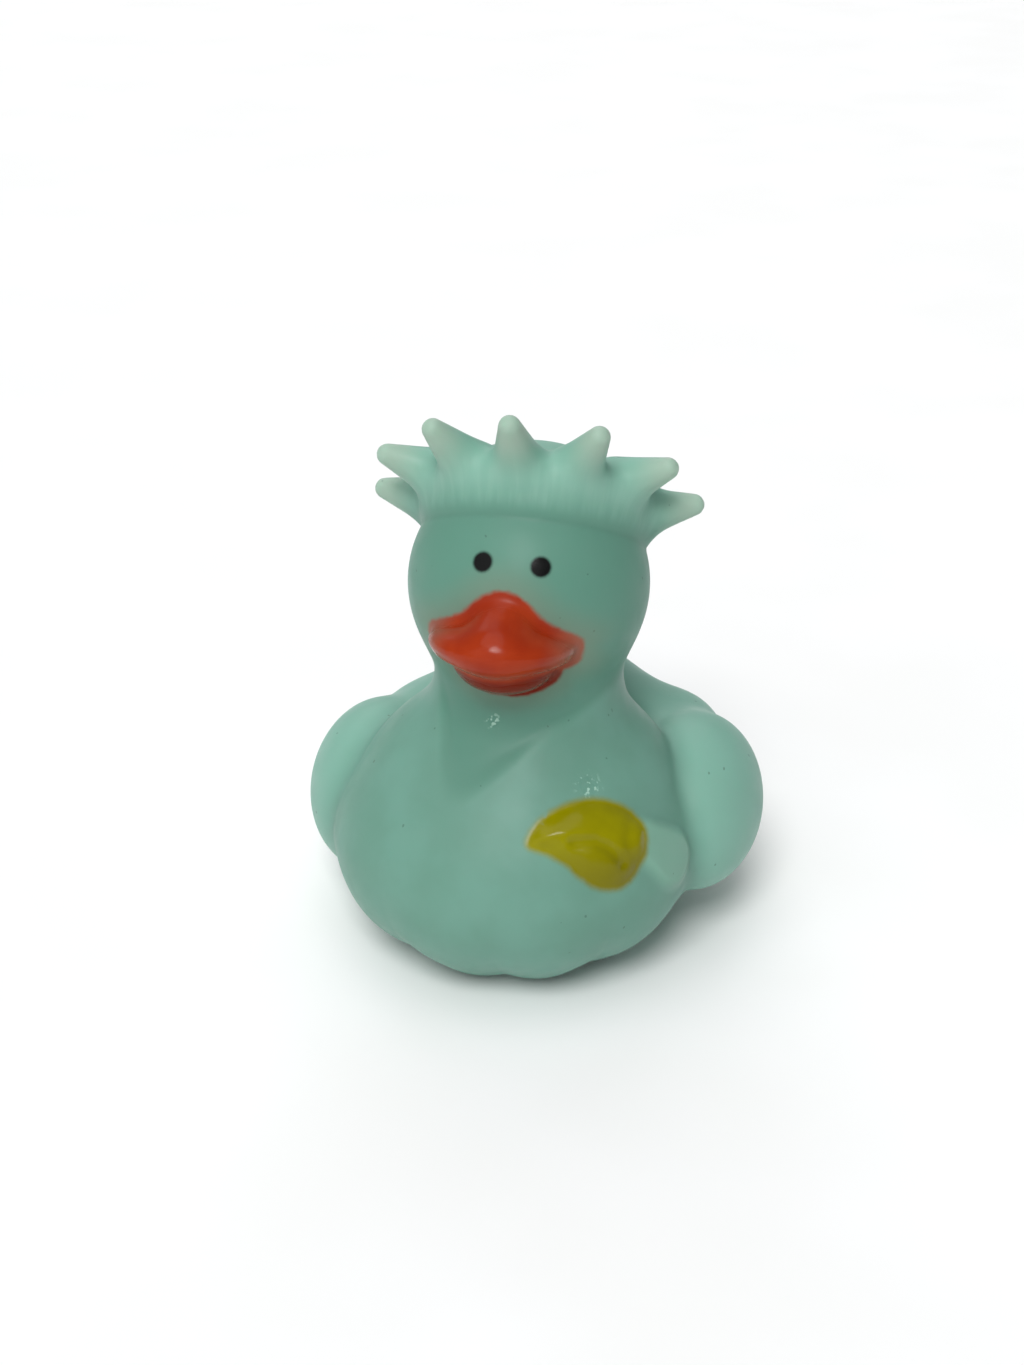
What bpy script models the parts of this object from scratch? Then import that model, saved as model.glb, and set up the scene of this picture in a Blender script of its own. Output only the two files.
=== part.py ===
"""A 5.7 cm bath duck in soft vinyl, moulded hollow in one piece, with a crown of seven rays.

The duck stands on its flat base at z = 0, with the origin under the middle of its box. It faces -Y,
its left wing is at +X, and lengths below are in millimetres until MM turns them into metres.
"""

from math import cos, radians, sin

import bmesh
import bpy
from mathutils import Matrix, Vector

MM = 0.001

# Driving dimensions
WALL = 1.8  # moulded wall all round
HEAD_RADIUS = 11.7
HEAD = Vector((0.0, -3.0, 37.5))  # centre of the head
BASE = 0.0  # height of the flat base
VENT_RADIUS = 1.6  # air hole through the base
CROWN_TILT = radians(33.0)  # the crown leans back by this
CROWN_EDGE = 4.6  # its lower edge, above the head's centre along the crown's axis
FORM_VOXEL = 0.5
SKIN_SHARE = 0.06  # faces kept after thinning the outer skin
HOLLOW_SHARE = 0.04  # faces kept after thinning the hollow
CUT_SIZE = 80.0  # side of the block that trims the base

# Big soft forms: centre, half-sizes. The wings are given on the left side.
BELLY = ((-0.9, -6.0, 11.3), (18.6, 17.8, 13.0))
CHEST = ((-0.3, -5.0, 18.8), (13.6, 12.2, 8.2))
BACK = ((-0.4, 8.0, 11.4), (17.2, 15.4, 11.8))
WING_FRONT = ((16.3, 0.5, 12.8), (7.2, 10.5, 8.9))
WING_REAR = ((12.8, 8.0, 13.4), (6.7, 10.2, 6.2))
WING_DROP = 0.6  # the right wing hangs lower than the left
BODY_TURN = radians(3.0)  # the body is turned a little under the head
NECK = ((0.0, -4.5, 22.0), (0.0, -3.0, 34.5), 9.4, 8.4)  # foot, top, and their radii
TAIL = ((0.0, 14.0, 13.5), (0.0, 21.2, 22.5), 7.2, 3.1)
FOOT = ((-0.9, -1.0, 3.0), (13.8, 17.0, 4.7))

# Bill, from the head's centre
BILL_PLATE = ((-0.5, -9.7, -1.8), (7.1, 6.8, 2.1))
BILL_RIM = ((-0.45, -9.6, -2.6), (6.6, 6.5, 1.9))
BILL_LOWER = ((-0.3, -9.2, -3.9), (5.1, 5.9, 3.2))
BILL_RIDGE = ((-0.2, -8.6, 1.5), (-0.2, -13.4, -0.2), 3.0, 2.2)
BILL_TILT = radians(-10.0)

# Crown, in its own tilted axes: height along the axis and reach from it
CAP_CENTRE = 3.3
CAP_RADII = (11.8, 11.8, 10.4)
RING_HEIGHT = 8.4  # the soft ring that the rays grow from
RING_RADII = (11.5, 11.5, 3.0)
RAY_RADII = (2.6, 1.15)
RAYS = (  # angle from the front, root (height, reach), tip (height, reach)
    (0.0, (9.3, 9.2), (11.8, 15.3)),
    (32.0, (9.3, 9.2), (11.8, 14.7)),
    (64.0, (9.1, 9.4), (10.4, 15.0)),
    (92.0, (7.2, 9.7), (8.4, 15.3)),
)

# Raised flame on the left of the breast and the cup it stands in, as tapered strokes laid on the
# curve of the breast: start (across, up), end (across, up), start radius, end radius
FLAME_CENTRE = Vector((9.1, -18.15, 18.15))
FLAME_FACING = Vector((0.45, -0.667, 0.594))
BREAST_CURVE = 17.0  # radius that the strokes bend round
FLAME_SINK = 0.45  # share of a stroke's radius that lies below the breast
FLAME = (
    ((-4.9, 1.2), (-2.2, 2.1), 0.6, 1.75),
    ((-2.2, 2.1), (2.4, 0.7), 1.75, 2.8),
    ((2.4, 0.7), (2.1, -1.9), 2.8, 2.3),
    ((-2.7, 0.1), (0.7, -1.8), 1.2, 2.1),
)
CUP_SINK = 0.72
CUP = ((6.0, -1.0), (8.6, -2.8), 2.5, 3.2)


def clear_scene():
    for obj in list(bpy.data.objects):
        bpy.data.objects.remove(obj, do_unlink=True)


def vinyl():
    material = bpy.data.materials.new("mint_vinyl")
    material.use_nodes = True
    shader = material.node_tree.nodes["Principled BSDF"]
    shader.inputs["Base Color"].default_value = (0.23, 0.45, 0.36, 1.0)
    shader.inputs["Roughness"].default_value = 0.38
    shader.inputs["Metallic"].default_value = 0.0
    return material


def add_ellipsoid(form, centre, radii, tilt=0.0, detail=4):
    place = Matrix.Translation(Vector(centre) * MM) @ Matrix.Rotation(tilt, 4, "X")
    size = Matrix.Diagonal((radii[0] * MM, radii[1] * MM, radii[2] * MM, 1.0))
    bmesh.ops.create_icosphere(form, subdivisions=detail, radius=1.0, matrix=place @ size)


def add_wings(form, centre, radii):
    x, y, z = centre
    add_ellipsoid(form, (x, y, z), radii)
    add_ellipsoid(form, (-x, y, z - WING_DROP), radii)


def add_round_cone(form, start, end, start_radius, end_radius):
    """A cone with a ball on each end."""
    start, end = Vector(start), Vector(end)
    along = end - start
    turn = along.to_track_quat("Z", "Y").to_matrix().to_4x4()
    place = Matrix.Translation((start + end) * 0.5 * MM) @ turn
    bmesh.ops.create_cone(
        form, cap_ends=True, segments=32, radius1=start_radius * MM, radius2=end_radius * MM,
        depth=along.length * MM, matrix=place,
    )
    add_ellipsoid(form, start, (start_radius,) * 3, detail=3)
    add_ellipsoid(form, end, (end_radius,) * 3, detail=3)


def add_block(form, low, high):
    low, high = Vector(low), Vector(high)
    place = Matrix.Translation((low + high) * 0.5 * MM)
    size = Matrix.Diagonal(((high - low) * MM).to_4d())
    bmesh.ops.create_cube(form, size=1.0, matrix=place @ size)


def make_object(name, form, material=None):
    mesh = bpy.data.meshes.new(name)
    form.to_mesh(mesh)
    form.free()
    obj = bpy.data.objects.new(name, mesh)
    bpy.context.scene.collection.objects.link(obj)
    if material:
        mesh.materials.append(material)
    return obj


def as_guide(obj):
    obj.hide_render = True
    obj.display_type = "WIRE"
    return obj


def fuse(obj, smooth_steps, share):
    """Melts overlapping forms into one skin, rounds the creases and thins the faces."""
    remesh = obj.modifiers.new("fuse", "REMESH")
    remesh.mode = "VOXEL"
    remesh.voxel_size = FORM_VOXEL * MM
    smooth = obj.modifiers.new("soften", "SMOOTH")
    smooth.factor = 0.5
    smooth.iterations = smooth_steps
    if share < 1.0:
        thin = obj.modifiers.new("thin", "DECIMATE")
        thin.ratio = share


def combine(obj, other, operation):
    cut = obj.modifiers.new(operation.lower() + "_" + other.name, "BOOLEAN")
    cut.operation = operation
    cut.solver = "EXACT"
    cut.object = other


def crown_point(angle, height, reach):
    """A point given in the crown's tilted axes, from the duck's front round towards its left."""
    axis = Vector((0.0, sin(CROWN_TILT), cos(CROWN_TILT)))
    front = Vector((0.0, -cos(CROWN_TILT), sin(CROWN_TILT)))
    side = Vector((1.0, 0.0, 0.0))
    turn = radians(angle)
    return HEAD + axis * height + (side * sin(turn) + front * cos(turn)) * reach


def turn_body(form):
    """Turns what is in the form so far about the upright axis."""
    turn = Matrix.Rotation(BODY_TURN, 3, "Z")
    bmesh.ops.rotate(form, verts=form.verts[:], cent=(0.0, 0.0, 0.0), matrix=turn)


def body_form():
    """Head, neck, breast, back, tail and wings, with soft creases where they meet."""
    form = bmesh.new()
    for centre, radii in (BELLY, CHEST, BACK, FOOT):
        add_ellipsoid(form, centre, radii)
    add_wings(form, *WING_FRONT)
    add_wings(form, *WING_REAR)
    add_round_cone(form, *NECK)
    add_round_cone(form, *TAIL)
    turn_body(form)
    add_ellipsoid(form, HEAD, (HEAD_RADIUS,) * 3)
    body = as_guide(make_object("body_form", form))
    fuse(body, smooth_steps=20, share=1.0)
    return body


def crown_cap_form():
    """The cap that carries the rays: a ball on the tilted axis, cut level along its lower edge."""
    form = bmesh.new()
    add_ellipsoid(form, crown_point(0.0, CAP_CENTRE, 0.0), CAP_RADII, tilt=-CROWN_TILT)
    below = crown_point(0.0, CROWN_EDGE, 0.0) * MM
    axis = Vector((0.0, sin(CROWN_TILT), cos(CROWN_TILT)))
    every = form.verts[:] + form.edges[:] + form.faces[:]
    cut = bmesh.ops.bisect_plane(form, geom=every, plane_co=below, plane_no=axis, clear_inner=True)
    rim = [edge for edge in cut["geom_cut"] if isinstance(edge, bmesh.types.BMEdge)]
    bmesh.ops.contextual_create(form, geom=rim)
    add_ellipsoid(form, crown_point(0.0, RING_HEIGHT, 0.0), RING_RADII, tilt=-CROWN_TILT)
    return as_guide(make_object("crown_cap_form", form))


def breast_point(across, up, radius, sink):
    """Where a stroke's ball sits: laid on the curve of the breast and sunk by a share of its radius."""
    out = FLAME_FACING.normalized()
    side = Vector((0.0, 0.0, 1.0)).cross(out).normalized()
    drop = sink * radius + (across * across + up * up) / (2.0 * BREAST_CURVE)
    return FLAME_CENTRE + side * across + out.cross(side) * up - out * drop


def add_stroke(form, start, end, start_radius, end_radius, sink):
    add_round_cone(
        form, breast_point(*start, start_radius, sink), breast_point(*end, end_radius, sink),
        start_radius, end_radius,
    )


def detail_form():
    """Bill, rays, flame and cup."""
    form = bmesh.new()
    for centre, radii in (BILL_PLATE, BILL_RIM, BILL_LOWER):
        add_ellipsoid(form, HEAD + Vector(centre), radii, tilt=BILL_TILT)
    start, end, start_radius, end_radius = BILL_RIDGE
    add_round_cone(form, HEAD + Vector(start), HEAD + Vector(end), start_radius, end_radius)
    for angle, root, tip in RAYS:
        for side in (1.0, -1.0) if angle else (1.0,):
            add_round_cone(
                form, crown_point(side * angle, *root), crown_point(side * angle, *tip), *RAY_RADII
            )
    for stroke in FLAME:
        add_stroke(form, *stroke, FLAME_SINK)
    add_stroke(form, *CUP, CUP_SINK)
    return as_guide(make_object("detail_form", form))


def hollow_form():
    """The air space: the big forms less the wall, cut level above the base, with the vent below."""
    form = bmesh.new()
    for centre, radii in (BELLY, CHEST, BACK, FOOT):
        add_ellipsoid(form, centre, [radius - WALL for radius in radii])
    add_wings(form, WING_FRONT[0], [radius - WALL for radius in WING_FRONT[1]])
    foot, top, foot_radius, top_radius = NECK
    add_round_cone(form, foot, top, foot_radius - WALL, top_radius - WALL)
    turn_body(form)
    add_ellipsoid(form, HEAD, (HEAD_RADIUS - WALL,) * 3)
    hollow = as_guide(make_object("hollow_form", form))
    fuse(hollow, smooth_steps=6, share=HOLLOW_SHARE)
    return hollow


def block_form(name, top):
    """A block whose top trims whatever reaches below that height."""
    form = bmesh.new()
    half = CUT_SIZE / 2
    add_block(form, (-half, -half, top - half), (half, half, top))
    return as_guide(make_object(name, form))


def vent_form():
    form = bmesh.new()
    place = Matrix.Translation(Vector((0.0, 0.0, WALL)) * MM)
    bmesh.ops.create_cone(
        form, cap_ends=True, segments=24, radius1=VENT_RADIUS * MM, radius2=VENT_RADIUS * MM,
        depth=4 * WALL * MM, matrix=place,
    )
    return as_guide(make_object("vent_form", form))


def duck():
    skin = make_object("duck", bmesh.new(), vinyl())
    forms = (body_form(), crown_cap_form(), detail_form())
    join = bmesh.new()
    graph = bpy.context.evaluated_depsgraph_get()
    for part in forms:
        join.from_mesh(part.evaluated_get(graph).to_mesh())
    join.to_mesh(skin.data)
    join.free()
    fuse(skin, smooth_steps=3, share=SKIN_SHARE)
    combine(skin, block_form("base_trim", BASE), "DIFFERENCE")
    hollow = hollow_form()
    combine(hollow, block_form("floor_trim", WALL), "DIFFERENCE")
    combine(hollow, vent_form(), "UNION")
    combine(skin, hollow, "DIFFERENCE")
    return skin


clear_scene()
duck()
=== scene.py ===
"""Looks of the bath duck: a fine vinyl skin with sprayed paint, on a pale floor in soft light.

The skin is the zero surface of a distance field, built from a few round forms that melt together.
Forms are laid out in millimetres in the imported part's own frame: the duck faces -Y, its left wing is
at +X, and it stands on z = 0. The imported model's box gives the scale and the place.
"""

from math import cos, radians, sin

import bpy
import numpy as np
import openvdb
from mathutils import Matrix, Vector


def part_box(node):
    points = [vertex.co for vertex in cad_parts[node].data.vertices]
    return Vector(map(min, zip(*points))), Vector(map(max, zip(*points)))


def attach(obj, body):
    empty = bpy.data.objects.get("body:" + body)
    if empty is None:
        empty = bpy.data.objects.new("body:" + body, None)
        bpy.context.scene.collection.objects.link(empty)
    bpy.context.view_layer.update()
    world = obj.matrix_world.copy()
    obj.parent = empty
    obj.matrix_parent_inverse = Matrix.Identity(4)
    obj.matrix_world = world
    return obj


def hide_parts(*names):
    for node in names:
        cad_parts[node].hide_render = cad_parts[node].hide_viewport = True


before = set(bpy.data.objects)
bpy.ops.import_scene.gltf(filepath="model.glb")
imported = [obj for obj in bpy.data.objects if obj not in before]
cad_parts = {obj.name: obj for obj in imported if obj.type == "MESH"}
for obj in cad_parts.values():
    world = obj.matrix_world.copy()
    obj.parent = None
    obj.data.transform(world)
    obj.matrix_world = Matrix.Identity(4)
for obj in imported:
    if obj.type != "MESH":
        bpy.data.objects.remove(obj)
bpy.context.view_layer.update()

# Forms below are in millimetres. A round form is its centre and its radii, then its tilt where it has one.
MM = 0.001
DESIGN_HEIGHT = 56.78  # height of the forms below, from the base to the tip of the front ray
VOXEL = 0.345  # grid pitch, fine enough for the mouth line and the crown's edge
MARGIN = 2.0  # room round the forms in the grid
PROBE = 0.04  # step for the field's slope

# Head, neck and body
HEAD = np.array((0.0, -3.0, 37.5))
HEAD_RADII = (11.7, 11.6, 11.6)
CROWN_TILT = radians(33.0)  # the crown leans back by this
CROWN_EDGE = 4.6  # height of the cap's lower edge along the crown's axis
CROWN_AXIS = np.array((0.0, sin(CROWN_TILT), cos(CROWN_TILT)))
CROWN_FRONT = np.array((0.0, -cos(CROWN_TILT), sin(CROWN_TILT)))
SIDE = np.array((1.0, 0.0, 0.0))
RING_REACH, RING_HEIGHT, RING_RADIUS = 9.2, 8.4, 2.3  # a soft ring that the rays grow from
RAYS = (  # angle from the front, root (height, reach), tip (height, reach)
    (0.0, (9.3, 9.2), (11.8, 15.3)),
    (32.0, (9.3, 9.2), (11.8, 14.7)),
    (64.0, (9.1, 9.4), (10.4, 15.0)),
    (92.0, (7.2, 9.7), (8.4, 15.3)),
)
RAY_ROOT, RAY_TIP = 2.6, 1.05  # radii
RAY_MELT = 2.2  # fillet where a ray leaves the cap
BODY_TURN = radians(3.0)  # the body is turned a little under the head
BELLY = ((-0.9, -6, 11.3), (18.1, 17.3, 12.6))
CHEST = ((-0.3, -5, 18.8), (13.5, 12, 8))
FOOT = ((-0.9, -1, 3), (13.3, 16.6, 4.4))
RUMP = ((-0.4, 8, 11.4), (17, 15, 11.4))
WING = ((16.2, 0.5, 12.4), (7.2, 10.5, 8.6))
WING_END = ((12.8, 8.5, 12.8), (6.5, 9.6, 6))
WING_DROP = 0.9  # the right wing hangs lower than the left
RAY_ROLL = radians(1.5)  # the rays sit a little higher on the duck's left
EYES = ((-2.35, -12.5, 43.5), (3.05, -12.5, 43.5))
EYE_RADIUS = 0.98
BILL_PLATE = ((-0.5, -9.7, -1.8), (6.9, 6.7, 1.9), -12)  # these four are placed from the head's centre
BILL_RIM = ((-0.45, -9.6, -2.6), (6.4, 6.3, 1.7), -12)
BILL_LOWER = ((-0.3, -9.2, -3.9), (4.9, 5.7, 3.0), -10)
BILL_RIDGE = ((-0.2, -8.6, 1.2), (-0.2, -13.4, -0.4), 2.8, 2.0)  # a cone between two balls

# Flame: its centre on the breast and the way it faces; flat places run across and up its own plane
FLAME_CENTRE = np.array((9.1, -18.15, 18.15))
FLAME_FACING = np.array((0.45, -0.667, 0.594))
FLAME = (  # its outline, from the pointed end over the top and back
    (-5.8, 1.3), (-3.9, 3.2), (-0.5, 4.0), (2.4, 3.5), (4.7, 2.1), (5.5, 0.2), (4.9, -1.9),
    (3.7, -3.5), (2.1, -4.3), (0.1, -4.0), (-1.4, -2.9), (-2.7, -1.2), (-4.3, 0.2),
)
FLAME_SHOULDER, FLAME_HEIGHT = 3.2, 1.2
CREASE = ((-1.9, 0.5), (0.0, 0.1), (1.5, -1.0), (2.5, -2.4))  # between its two lobes
CREASE_DEPTH = 0.4
PAINT_MISS = (-3.3, 2.9)  # where the flame's paint is thin
CUP = ((6.0, -1.0), (8.6, -2.8), 2.5, 3.2)  # a tapered stroke: its ends and their radii
CUP_HEIGHT = 0.75
BADGE_REACH = 14.0  # nothing of the flame or its cup lies further from the centre
SCUFF_AND_GLINT = (1.1, 5.4)  # scratched spots, with painted glints on them: above the flame, and on the collar
COLLAR_SCUFF_AND_GLINT = (-1.4, -12.9, 27.3)
ROBE_HEIGHT = 0.35
FLUTES = 11.6  # folds round the hem
FOLD_HEIGHT = 0.55
VENT_RADIUS = 1.6  # air hole in the base
VENT_DEPTH = 4.0

# Lights that are as even on the floor as on the duck: direction, spread in degrees, power
SUNS = {
    "top": ((-0.15, -0.1, 1.0), 50.0, 0.75),
    "front": ((-0.3, -1.0, 0.6), 70.0, 0.7),
    "back": ((-0.3, 0.9, 0.8), 50.0, 0.7),
    "spark": ((0.0, -0.8, 1.0), 24.0, 1.8),
}

# Camera, aimed at the head
CAMERA_AZIMUTH, CAMERA_ELEVATION = radians(11.5), radians(25.0)
CAMERA_DISTANCE = 200.0
CAMERA_LENS, CAMERA_SENSOR = 54.6, 36.0
CAMERA_SHIFT = (-0.0124, -0.0747)
FLOOR_HALF = 1500.0


# ---- Distance-field kit ---------------------------------------------------------------------

def length(v):
    return np.sqrt((v * v).sum(-1))


def melt(a, b, k):
    """Union of two fields with a fillet of about k."""
    h = np.maximum(k - np.abs(a - b), 0.0) / k
    return np.minimum(a, b) - h * h * h * k / 6.0


def overlap(a, b, k):
    """What two fields share, with its edge rounded by about k."""
    return -melt(-a, -b, k)


def fade(start, end, x):
    """0 before start, 1 after end, and smooth between, in either direction."""
    t = np.clip((x - start) / (end - start), 0.0, 1.0)
    return t * t * (3.0 - 2.0 * t)


def ellipsoid(p, centre, radii, axes=None):
    q = p - np.asarray(centre, p.dtype)
    if axes is not None:
        q = q @ axes.astype(p.dtype)
    radii = np.asarray(radii, p.dtype)
    near = length(q / radii)
    slope = length(q / (radii * radii))
    return near * (near - 1.0) / np.maximum(slope, 1e-6)


def round_cone(p, start, end, start_radius, end_radius):
    """A cone between two balls."""
    start = np.asarray(start, p.dtype)
    along = np.asarray(end, p.dtype) - start
    span = float(along @ along)
    drop = start_radius - end_radius
    rest = span - drop * drop
    q = p - start
    y = q @ along
    z = y - span
    across = ((q * span - y[..., None] * along) ** 2).sum(-1)
    side = np.sign(drop) * drop * drop * across
    past_end = np.sign(z) * rest * z * z * span > side
    past_start = np.sign(y) * rest * y * y * span < side
    middle = (np.sqrt(across * rest / span) + y * drop) / span - start_radius
    at_end = np.sqrt(across + z * z * span) / span - end_radius
    at_start = np.sqrt(across + y * y * span) / span - start_radius
    return np.where(past_end, at_end, np.where(past_start, at_start, middle))


def stroke(s, t, start, end, start_radius, end_radius):
    """Flat distance to a tapered stroke."""
    ds, dt = end[0] - start[0], end[1] - start[1]
    h = np.clip(((s - start[0]) * ds + (t - start[1]) * dt) / (ds * ds + dt * dt), 0.0, 1.0)
    reach = np.hypot(s - start[0] - h * ds, t - start[1] - h * dt)
    return reach - (start_radius + (end_radius - start_radius) * h)


def pad(edge, shoulder, height):
    """Height of a raised pad with a round shoulder, from the distance to its edge."""
    t = np.clip(-edge / shoulder, 0.0, 1.0)
    return height * (1.0 - (1.0 - t) ** 2)


def tilt_x(degrees):
    a = radians(degrees)
    return np.array(((1.0, 0.0, 0.0), (0.0, cos(a), -sin(a)), (0.0, sin(a), cos(a))))


def mirrored(p):
    """Both sides folded onto the duck's left."""
    q = p.copy()
    q[..., 0] = np.abs(q[..., 0])
    return q


# ---- The duck's forms -----------------------------------------------------------------------

def crown_point(angle, height, reach):
    turn = radians(angle)
    return HEAD + height * CROWN_AXIS + reach * (sin(turn) * SIDE + cos(turn) * CROWN_FRONT)


def bill(p):
    """Upper bill, with its thick rim, and lower bill."""
    plate, rim, lower = [
        ellipsoid(p, HEAD + centre, radii, tilt_x(tilt))
        for centre, radii, tilt in (BILL_PLATE, BILL_RIM, BILL_LOWER)
    ]
    start, end, start_radius, end_radius = BILL_RIDGE
    ridge = round_cone(p, HEAD + start, HEAD + end, start_radius, end_radius)
    return melt(melt(plate, rim, 1.5), ridge, 4.5), lower


def cap(p):
    """The cap that carries the rays: it widens quickly above its lower edge."""
    q = p - HEAD.astype(p.dtype)
    height = q @ CROWN_AXIS.astype(p.dtype)
    reach = np.sqrt(np.maximum((q * q).sum(-1) - height * height, 0.0))
    axes = np.stack((SIDE, -CROWN_FRONT, CROWN_AXIS), 1)
    dome = ellipsoid(p, HEAD + 3.3 * CROWN_AXIS, (11.8, 11.8, 10.3), axes)
    ring = np.hypot(reach - RING_REACH, height - RING_HEIGHT) - RING_RADIUS
    flare = (reach - 10.95 - (height - CROWN_EDGE) * 0.5) * 0.894
    return overlap(overlap(melt(dome, ring, 2.0), flare, 1.0), CROWN_EDGE - height, 0.4)


def rays(p):
    """The seven rays, three to each side of the front one."""
    q = p.copy()
    x, z = p[..., 0] - HEAD[0], p[..., 2] - HEAD[2]
    q[..., 0] = HEAD[0] + x * cos(RAY_ROLL) + z * sin(RAY_ROLL)
    q[..., 2] = HEAD[2] + z * cos(RAY_ROLL) - x * sin(RAY_ROLL)
    p, q = q, mirrored(q)
    each = [
        round_cone(q if angle else p, crown_point(angle, *root), crown_point(angle, *tip), RAY_ROOT, RAY_TIP)
        for angle, root, tip in RAYS
    ]
    return np.minimum.reduce(each)


def turned(p):
    """Points in the body's own frame."""
    q = p.copy()
    q[..., 0] = p[..., 0] * cos(BODY_TURN) + p[..., 1] * sin(BODY_TURN)
    q[..., 1] = p[..., 1] * cos(BODY_TURN) - p[..., 0] * sin(BODY_TURN)
    return q


def breast(p):
    """Neck, breast and belly, down to the base."""
    p = turned(p)
    neck = round_cone(p, HEAD + (0, 0, -3), (0, -4.5, 22), 8.2, 9.4)
    front = melt(melt(ellipsoid(p, *BELLY), ellipsoid(p, *CHEST), 6.0), neck, 4.0)
    return melt(front, ellipsoid(p, *FOOT), 2.0)


def back(p):
    """Back, tail and wings."""
    p = turned(p)
    tail = round_cone(p, (0, 14, 13.5), (0, 21.2, 22.5), 7.0, 2.9)
    q = mirrored(p)
    q[..., 2] += np.where(p[..., 0] < 0.0, WING_DROP, 0.0)
    wings = melt(ellipsoid(q, *WING), ellipsoid(q, *WING_END), 3.0)
    return melt(melt(ellipsoid(p, *RUMP), tail, 8.0), wings, 3.5)


def neckline(p):
    """Below zero inside the open V of the robe."""
    x, z = p[..., 0], p[..., 2]
    right_edge = (-6.3 - 0.27 * (z - 22.5) - x) * 0.965
    u = x + 2.8
    left_edge = (21.0 + 0.86 * u - 0.018 * u * u - z) * 0.76
    return overlap(right_edge, left_edge, 7.5)


def flame_axes():
    out = FLAME_FACING / np.linalg.norm(FLAME_FACING)
    across = np.cross((0.0, 0.0, 1.0), out)
    across /= np.linalg.norm(across)
    return across, np.cross(out, across), out


def flame_place(p):
    """Across, up and out of the flame's own plane."""
    q = p - FLAME_CENTRE.astype(p.dtype)
    return [q @ axis.astype(p.dtype) for axis in flame_axes()]


def rounded(corners, steps=4):
    """A smooth closed curve through the corners, as short straight lengths."""
    a, b, c, d = (np.roll(np.array(corners), 1 - i, 0) for i in range(4))
    curve = []
    for h in np.arange(steps) / steps:
        bend = (2 * a - 5 * b + 4 * c - d) * h * h + (3 * b - a - 3 * c + d) * h**3
        curve.append(0.5 * (2 * b + (c - a) * h + bend))
    return np.stack(curve, 1).reshape(-1, 2)


def flame_edge(s, t):
    """Flat distance to the flame's outline, below zero inside."""
    curve = rounded(FLAME)
    near = np.full(s.shape, 1e6, s.dtype)
    inside = np.zeros(s.shape, bool)
    for (s1, t1), (s2, t2) in zip(curve, np.roll(curve, -1, 0)):
        near = np.minimum(near, stroke(s, t, (s1, t1), (s2, t2), 0.0, 0.0))
        level = (t1 > t) != (t2 > t)
        inside ^= level & (s < s1 + (t - t1) * (s2 - s1) / (t2 - t1 + 1e-9))
    return np.where(inside, -near, near)


def crease_distance(s, t):
    lengths = [stroke(s, t, start, end, 0.0, 0.0) for start, end in zip(CREASE, CREASE[1:])]
    return np.minimum.reduce(lengths)


def badge(p):
    """The flame and the cup it stands in."""
    s, t, out = flame_place(p)
    raised = np.zeros(s.shape, s.dtype)
    close = (np.hypot(s, t) < BADGE_REACH) & (out > -6.0)
    s, t, out = s[close], t[close], out[close]
    edge = flame_edge(s, t)
    groove = CREASE_DEPTH * fade(1.0, 0.0, crease_distance(s, t))
    flame = pad(edge, FLAME_SHOULDER, FLAME_HEIGHT) - groove * fade(-0.6, -1.6, edge)
    cup = CUP_HEIGHT * fade(0.5, -1.2, stroke(s, t, *CUP))
    raised[close] = (flame + cup) * fade(-6.0, -3.0, out)
    return raised


def robe(p):
    """How far the robe stands out, outside its neckline and on the front only."""
    on_front = fade(30.5, 26.5, p[..., 2]) * fade(4.0, -4.0, p[..., 1])
    return ROBE_HEIGHT * fade(-1.3, 0.1, neckline(p)) * on_front


def hem_folds(p):
    """Creases that run up from the base and die out."""
    turn = np.arctan2(p[..., 0], -(p[..., 1] + 2.0))
    flute = np.abs(np.sin((turn - radians(2.0)) * FLUTES / 2.0))
    return FOLD_HEIGHT * (flute - 0.9) * fade(13.0, 3.0, p[..., 2])


def duck_field(p):
    """Signed distance, near enough, to the duck's skin."""
    front = breast(p) - robe(p) - badge(p) - hem_folds(p)
    body = melt(melt(front, ellipsoid(p, HEAD, HEAD_RADII), 4.0), back(p), 1.2)
    body = overlap(body, -p[..., 2], 2.0)
    upper, lower = bill(p)
    whole = melt(body, melt(lower, upper, 1.3), 0.7)
    whole = melt(whole, melt(cap(p), rays(p), RAY_MELT), 0.8)
    vent = overlap(np.hypot(p[..., 0], p[..., 1]) - VENT_RADIUS, p[..., 2] - VENT_DEPTH, 0.5)
    return overlap(whole, -vent, 0.4)


# ---- From field to mesh ---------------------------------------------------------------------

def field_grid(low, high):
    """The field sampled over a box, one slab at a time."""
    counts = np.ceil((high - low) / VOXEL).astype(int) + 1
    xs, ys, zs = [low[i] + VOXEL * np.arange(counts[i]) for i in range(3)]
    values = np.empty(counts, np.float32)
    for i, x in enumerate(xs):
        slab = np.stack(np.meshgrid([x], ys, zs, indexing="ij"), -1).astype(np.float32)
        values[i] = duck_field(slab)[0]
    return values


def slope(p):
    """The field's gradient, from four probes round each point."""
    steps = np.array(((1, -1, -1), (-1, -1, 1), (-1, 1, -1), (1, 1, 1)), np.float32)
    total = sum(step * duck_field(p + step * PROBE)[:, None] for step in steps)
    return total / (4.0 * PROBE)


def settle(p, rounds=3):
    """Points drawn onto the zero surface."""
    for _ in range(rounds):
        g = slope(p)
        move = duck_field(p)[:, None] * g / np.maximum((g * g).sum(-1, keepdims=True), 0.25)
        p = p - np.clip(move, -VOXEL, VOXEL)
    return p


def skin_points():
    """The skin's points and quads, in the forms' own millimetres."""
    low = np.array((-24.0, -25.0, 0.0)) - MARGIN
    high = np.array((24.0, 25.0, DESIGN_HEIGHT)) + MARGIN
    grid = openvdb.FloatGrid(MARGIN)
    grid.copyFromArray(np.clip(field_grid(low, high), -MARGIN, MARGIN))
    points, quads = grid.convertToQuads(0.0)
    return settle((points * VOXEL + low).astype(np.float32)), quads


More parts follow.
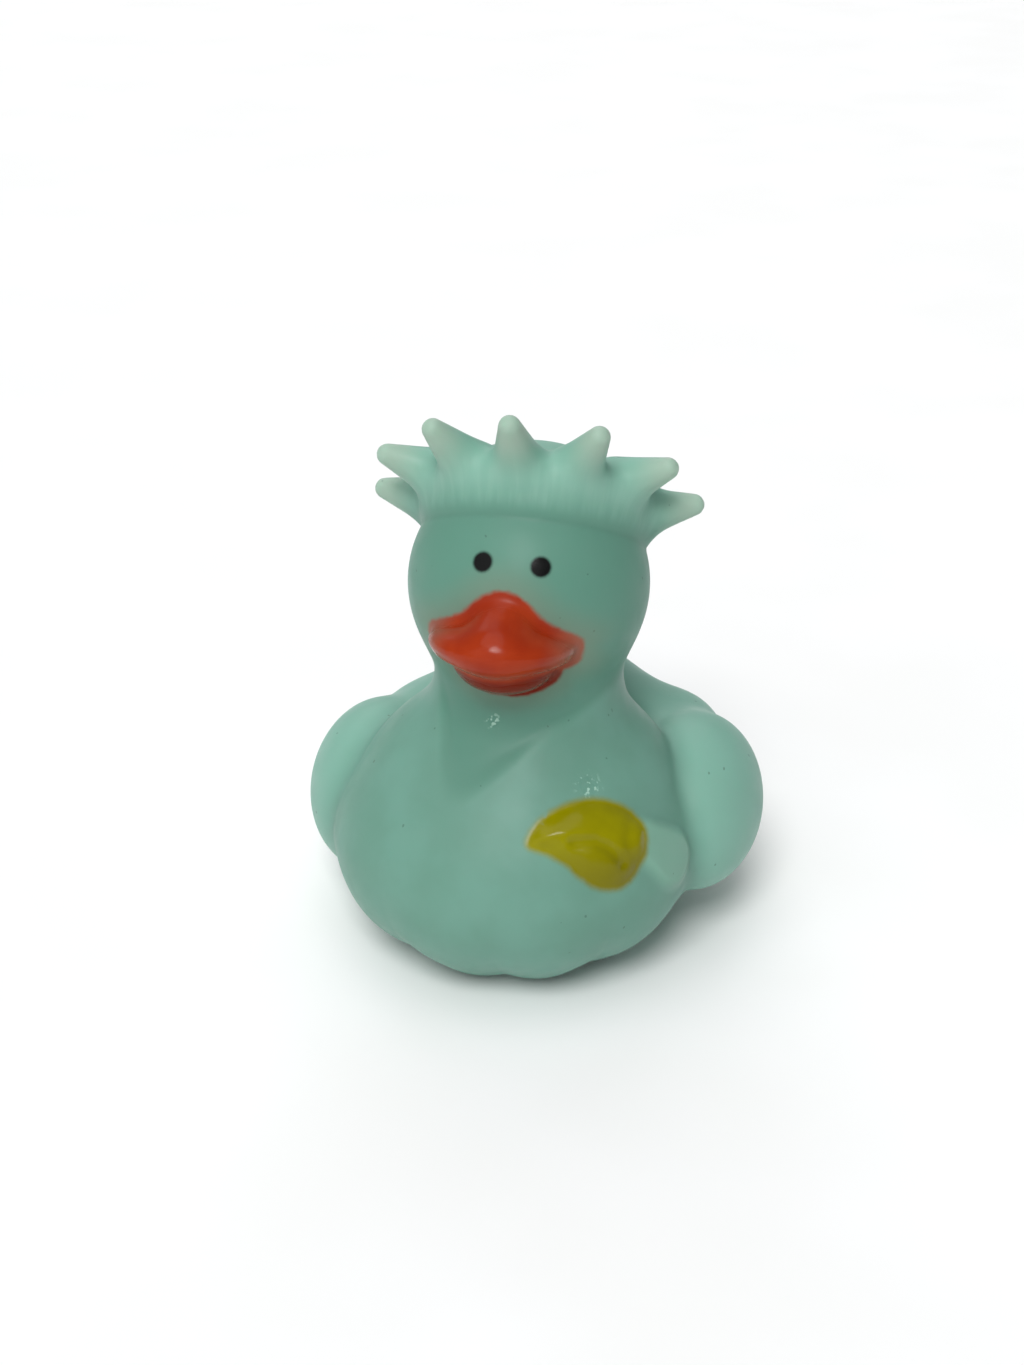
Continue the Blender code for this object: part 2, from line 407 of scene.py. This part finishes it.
# ---- Marks that the material reads, one value to each point ------------------------------------

def paint_marks(p):
    """Distances to each painted shape, and where a point lies on the crown, the breast and the back."""
    upper, lower = bill(p)
    s, t, out = flame_place(p)
    flame = np.where(out > -4.0, flame_edge(s, t), 9.0)
    eyes = np.minimum.reduce([length(p - np.asarray(eye, p.dtype)) for eye in EYES]) - EYE_RADIUS
    collar = length(p - np.asarray(COLLAR_SCUFF_AND_GLINT, p.dtype))
    q = p - HEAD.astype(p.dtype)
    height = q @ CROWN_AXIS.astype(p.dtype)
    turn = np.arctan2(q @ SIDE.astype(p.dtype), q @ CROWN_FRONT.astype(p.dtype))
    return {
        "bill_edge": np.minimum(upper, lower),
        "flame_edge": flame,
        "flame_up": t,
        "eye_edge": eyes,
        "paint_miss": np.hypot(s - PAINT_MISS[0], t - PAINT_MISS[1]),
        "crown_height": height,
        "crown_turn": turn,
        "rear": np.clip(breast(p) - back(p), -3.0, 3.0),
        "neck_edge": np.maximum(neckline(p), -0.9) + 1.4 * fade(-4.0, 9.0, p[..., 1]),
        "bill_side": np.abs(p[..., 0] + 0.3),
        "crown_reach": np.sqrt(np.maximum((q * q).sum(-1) - height * height, 0.0)) * (height > CROWN_EDGE),
        "lower_bill": upper - lower,
        "head_gap": ellipsoid(p, HEAD, HEAD_RADII),
        "scuff_and_glint": np.minimum(np.hypot(s - SCUFF_AND_GLINT[0], t - SCUFF_AND_GLINT[1]), collar * 1.6),
        "cup_edge": np.where(out > -6.0, stroke(s, t, *CUP), 9.0),
    }


def add_marks(mesh, marks):
    for name, values in marks.items():
        layer = mesh.attributes.new(name, "FLOAT", "POINT")
        layer.data.foreach_set("value", values.astype(np.float32))


# ---- Materials ------------------------------------------------------------------------------

class Nodes:
    """Short words for building a node tree."""

    def __init__(self, material):
        material.use_nodes = True
        self.tree = material.node_tree
        self.shader = self.tree.nodes["Principled BSDF"]

    def new(self, kind, inputs=(), **settings):
        node = self.tree.nodes.new(kind)
        for name, value in settings.items():
            setattr(node, name, value)
        for key, value in dict(inputs).items():
            self.feed(node.inputs[key], value)
        return node

    def feed(self, socket, value):
        if isinstance(value, bpy.types.NodeSocket):
            self.tree.links.new(value, socket)
        else:
            socket.default_value = value

    def mark(self, name):
        return self.new("ShaderNodeAttribute", attribute_name=name).outputs["Fac"]

    def math(self, operation, a, b=0.0):
        return self.new("ShaderNodeMath", {0: a, 1: b}, operation=operation).outputs[0]

    def ramp(self, value, start, end, low=0.0, high=1.0):
        """value's stretch from start to end turned into low to high, smoothly."""
        sockets = {"Value": value, "From Min": start, "From Max": end, "To Min": low, "To Max": high}
        return self.new("ShaderNodeMapRange", sockets, interpolation_type="SMOOTHSTEP").outputs[0]

    def noise(self, scale, detail=2.0, vector=None):
        vector = vector or self.place()
        node = self.new("ShaderNodeTexNoise", {"Vector": vector, "Scale": scale, "Detail": detail})
        return node.outputs["Fac"]

    def place(self):
        return self.new("ShaderNodeTexCoord").outputs["Object"]

    def mix(self, factor, a, b):
        node = self.new("ShaderNodeMix", data_type="RGBA")
        self.feed(node.inputs["Factor"], factor)
        self.feed(node.inputs[6], a)
        self.feed(node.inputs[7], b)
        return node.outputs[2]


def colour(red, green, blue):
    """An sRGB colour, 0 to 255, as the shader's linear one."""
    def linear(v):
        v = v / 255.0
        return v / 12.92 if v <= 0.04045 else ((v + 0.055) / 1.055) ** 2.4
    return (linear(red), linear(green), linear(blue), 1.0)


def vinyl_material():
    material = bpy.data.materials.new("painted_vinyl")
    n = Nodes(material)
    shader = n.shader

    # Mint vinyl, with faint clouding and a few dark specks of dust
    cloud = n.ramp(n.noise(140.0, 3.0), 0.3, 0.7)
    base = n.mix(cloud, colour(104, 147, 131), colour(110, 154, 139))
    # Painted light: the back and wings are painted lighter, standing in for light shining through the thin
    # vinyl there
    base = n.mix(n.ramp(n.mark("rear"), -0.5, 2.5, 0.0, 0.6), base, colour(138, 184, 168))
    # Painted shade: inside the robe's open V, under the head, the vinyl is painted darker
    base = n.mix(n.ramp(n.mark("neck_edge"), 0.25, -0.75, 0.0, 0.9), base, colour(94, 140, 123))
    # Painted light: the crown's cap above its lower edge, and its rays more so, are painted lighter,
    # standing in for light through the thin vinyl
    base = n.mix(n.ramp(n.mark("crown_height"), 4.4, 8.0, 0.0, 0.85), base, colour(132, 177, 160))
    base = n.mix(n.ramp(n.mark("crown_reach"), 11.4, 15.2, 0.0, 0.9), base, colour(156, 176, 161))
    # Painted light: the flame's cup is painted lighter, standing in for the light that the raised cup
    # catches
    base = n.mix(n.ramp(n.mark("cup_edge"), 0.3, -1.2, 0.0, 0.6), base, colour(132, 172, 153))
    streak_place = n.new("ShaderNodeCombineXYZ", {"X": n.math("MULTIPLY", n.mark("crown_turn"), 9.0)})
    n.feed(streak_place.inputs["Y"], n.math("MULTIPLY", n.mark("crown_height"), 0.12))
    streaks = n.ramp(n.noise(1.6, 2.0, streak_place.outputs[0]), 0.35, 0.7)
    above_edge = n.ramp(n.mark("crown_height"), 4.6, 6.0)
    on_cap = n.math("MULTIPLY", above_edge, n.ramp(n.mark("crown_height"), 11.0, 8.5))
    streaks = n.math("MULTIPLY", streaks, on_cap)
    # Painted highlights: the cap's hair-like streaks are painted lighter, as light catching them; the same
    # streaks are also a real bump below
    base = n.mix(n.math("MULTIPLY", streaks, 0.12), base, colour(162, 200, 184))
    # Scratched spots: small bright flecks, partly real scratches and partly painted glints
    scuff_and_glint = n.ramp(n.mark("scuff_and_glint"), 1.8, 0.4)
    fleck_and_glint = n.math("MULTIPLY", scuff_and_glint, n.ramp(n.noise(2200.0, 1.0), 0.6, 0.68, 0.0, 0.6))
    base = n.mix(fleck_and_glint, base, colour(186, 220, 204))
    speck = n.ramp(n.noise(1500.0, 0.0), 0.845, 0.865, 0.0, 0.45)
    base = n.mix(speck, base, colour(60, 80, 72))

    # Sprayed orange bill: thin at its corners, soft at its edge, with a faint haze round it
    grain = n.math("SUBTRACT", n.math("MULTIPLY", n.noise(1200.0, 1.0), 0.24), 0.12)
    bill_edge = n.math("ADD", n.mark("bill_edge"), grain)
    base = n.mix(n.ramp(bill_edge, 3.2, 0.2, 0.0, 0.25), base, colour(150, 128, 108))
    bill_tone = n.mix(n.ramp(n.noise(260.0, 2.0), 0.3, 0.75), colour(146, 42, 14), colour(158, 52, 19))
    # Painted shade: the lower bill, under the upper one, is painted darker
    bill_tone = n.mix(n.ramp(n.mark("lower_bill"), -0.2, 0.5), bill_tone, colour(116, 26, 8))
    thin = n.ramp(n.mark("bill_side"), 4.0, 7.5, 1.0, 0.72)
    bill_mask = n.math("MULTIPLY", n.ramp(bill_edge, 0.85, 0.4), thin)
    base = n.mix(bill_mask, base, bill_tone)

    # Yellow flame, with paint missing in one place
    miss = n.ramp(n.mark("paint_miss"), 1.3, 0.2, 0.0, 0.9)
    missing = n.math("MULTIPLY", miss, n.ramp(n.noise(700.0, 1.0), 0.4, 0.6))
    flame_edge = n.math("ADD", n.math("ADD", n.mark("flame_edge"), grain), missing)
    flame_tone = n.mix(n.ramp(n.noise(300.0, 2.0), 0.35, 0.7), colour(130, 125, 0), colour(138, 133, 0))
    # Painted shade: the flame is painted darker towards its lower part, away from the light above
    flame_tone = n.mix(n.ramp(n.mark("flame_up"), 0.5, -3.0, 0.0, 0.8), flame_tone, colour(114, 108, 0))
    flame_mask = n.ramp(flame_edge, 0.75, -0.1)
    base = n.mix(flame_mask, base, flame_tone)

    # Black eyes
    eye_mask = n.ramp(n.mark("eye_edge"), 0.2, -0.2)
    base = n.mix(eye_mask, base, colour(12, 13, 13))
    n.feed(shader.inputs["Base Color"], base)

    # Satin vinyl under glossy paint, which is duller in the bill's creases; a scuff shines
    paint = n.math("MAXIMUM", n.math("MAXIMUM", bill_mask, flame_mask), eye_mask)
    rough = n.ramp(n.noise(420.0, 3.0), 0.3, 0.7, 0.38, 0.48)
    crease = n.math("ABSOLUTE", n.mark("lower_bill"))
    open_paint = n.math("MULTIPLY", n.ramp(crease, 0.1, 0.8), n.ramp(n.mark("head_gap"), 0.2, 1.4, 0.3))
    open_paint = n.mix(n.ramp(n.mark("bill_edge"), 0.8, 0.3), (1.0, 1.0, 1.0, 1.0), open_paint)
    gloss = n.math("MULTIPLY", n.math("MULTIPLY", paint, open_paint), -0.24)
    gloss = n.math("SUBTRACT", gloss, n.math("MULTIPLY", scuff_and_glint, 0.25))
    n.feed(shader.inputs["Roughness"], n.math("ADD", rough, gloss))
    n.feed(shader.inputs["Subsurface Weight"], n.ramp(paint, 0.0, 1.0, 0.5, 0.0))
    shader.inputs["Subsurface Radius"].default_value = (0.6, 1.0, 0.85)
    shader.inputs["Subsurface Scale"].default_value = 2.5 * MM
    shader.inputs["IOR"].default_value = 1.46
    shader.inputs["Specular IOR Level"].default_value = 0.18

    # A faint ripple and a fine grain everywhere, hair-like streaks on the cap, and scratches on the scuffs
    height = n.math("ADD", n.math("MULTIPLY", streaks, 0.07), n.math("MULTIPLY", n.noise(160.0, 1.0), 0.2))
    height = n.math("ADD", height, n.math("MULTIPLY", n.noise(2600.0, 2.0), 0.02))
    height = n.math("ADD", height, n.math("MULTIPLY", n.math("MULTIPLY", scuff_and_glint, n.noise(1900.0, 1.0)), 0.7))
    bump = n.new("ShaderNodeBump", {"Height": height, "Strength": 0.5, "Distance": 0.3 * MM})
    n.feed(shader.inputs["Normal"], bump.outputs[0])
    return material


def floor_material():
    material = bpy.data.materials.new("pale_floor")
    n = Nodes(material)
    tone = n.mix(n.ramp(n.noise(30.0, 2.0), 0.3, 0.7), colour(243, 243, 242), colour(246, 246, 246))
    n.feed(n.shader.inputs["Base Color"], tone)
    n.shader.inputs["Roughness"].default_value = 0.7
    return material


# ---- Pieces and stage -----------------------------------------------------------------------

def make_skin(low, high):
    points, quads = skin_points()
    mesh = bpy.data.meshes.new("duck_skin")
    scale = (high.z - low.z) / DESIGN_HEIGHT
    places = points * scale + np.array((0.0, 0.0, low.z))
    mesh.vertices.add(len(points))
    mesh.vertices.foreach_set("co", places.astype(np.float32).ravel())
    mesh.loops.add(len(quads) * 4)
    mesh.loops.foreach_set("vertex_index", quads[:, ::-1].astype(np.int32).ravel())
    mesh.polygons.add(len(quads))
    mesh.polygons.foreach_set("loop_start", np.arange(0, len(quads) * 4, 4, dtype=np.int32))
    mesh.update(calc_edges=True)
    mesh.validate()
    add_marks(mesh, paint_marks(points))
    mesh.shade_smooth()
    skin = bpy.data.objects.new("duck_skin", mesh)
    bpy.context.scene.collection.objects.link(skin)
    mesh.materials.append(vinyl_material())
    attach(skin, "root")
    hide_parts("duck")


def make_floor(height):
    mesh = bpy.data.meshes.new("floor")
    half = FLOOR_HALF * MM
    corners = [(-half, -half, height), (half, -half, height), (half, half, height), (-half, half, height)]
    mesh.from_pydata(corners, [], [(0, 1, 2, 3)])
    floor = bpy.data.objects.new("floor", mesh)
    bpy.context.scene.collection.objects.link(floor)
    mesh.materials.append(floor_material())


def look_at(obj, place, target):
    obj.location = place
    obj.rotation_euler = (Vector(target) - Vector(place)).to_track_quat("-Z", "Y").to_euler()


def make_sun(name, direction, spread, power):
    lamp = bpy.data.lights.new(name, "SUN")
    lamp.angle = radians(spread)
    lamp.energy = power
    obj = bpy.data.objects.new(name, lamp)
    bpy.context.scene.collection.objects.link(obj)
    look_at(obj, direction, (0, 0, 0))


def make_world():
    world = bpy.data.worlds.new("studio")
    world.use_nodes = True
    sky = world.node_tree.nodes["Background"]
    sky.inputs["Color"].default_value = (0.93, 0.96, 1.0, 1.0)
    sky.inputs["Strength"].default_value = 0.2
    bpy.context.scene.world = world


def make_camera():
    head = Vector(HEAD * MM)
    level = cos(CAMERA_ELEVATION)
    towards = Vector((sin(CAMERA_AZIMUTH) * level, -cos(CAMERA_AZIMUTH) * level, sin(CAMERA_ELEVATION)))
    camera = bpy.data.cameras.new("camera")
    camera.lens = CAMERA_LENS
    camera.sensor_width = CAMERA_SENSOR
    camera.shift_x, camera.shift_y = CAMERA_SHIFT
    camera.clip_start = 0.01
    obj = bpy.data.objects.new("camera", camera)
    bpy.context.scene.collection.objects.link(obj)
    look_at(obj, head + towards * CAMERA_DISTANCE * MM, head)
    bpy.context.scene.camera = obj


low, high = (Vector(corner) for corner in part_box("duck"))
make_skin(low, high)
make_floor(low.z)
make_world()
for name, (direction, spread, power) in SUNS.items():
    make_sun(name, direction, spread, power)
make_camera()
bpy.context.scene.view_settings.view_transform = "Standard"
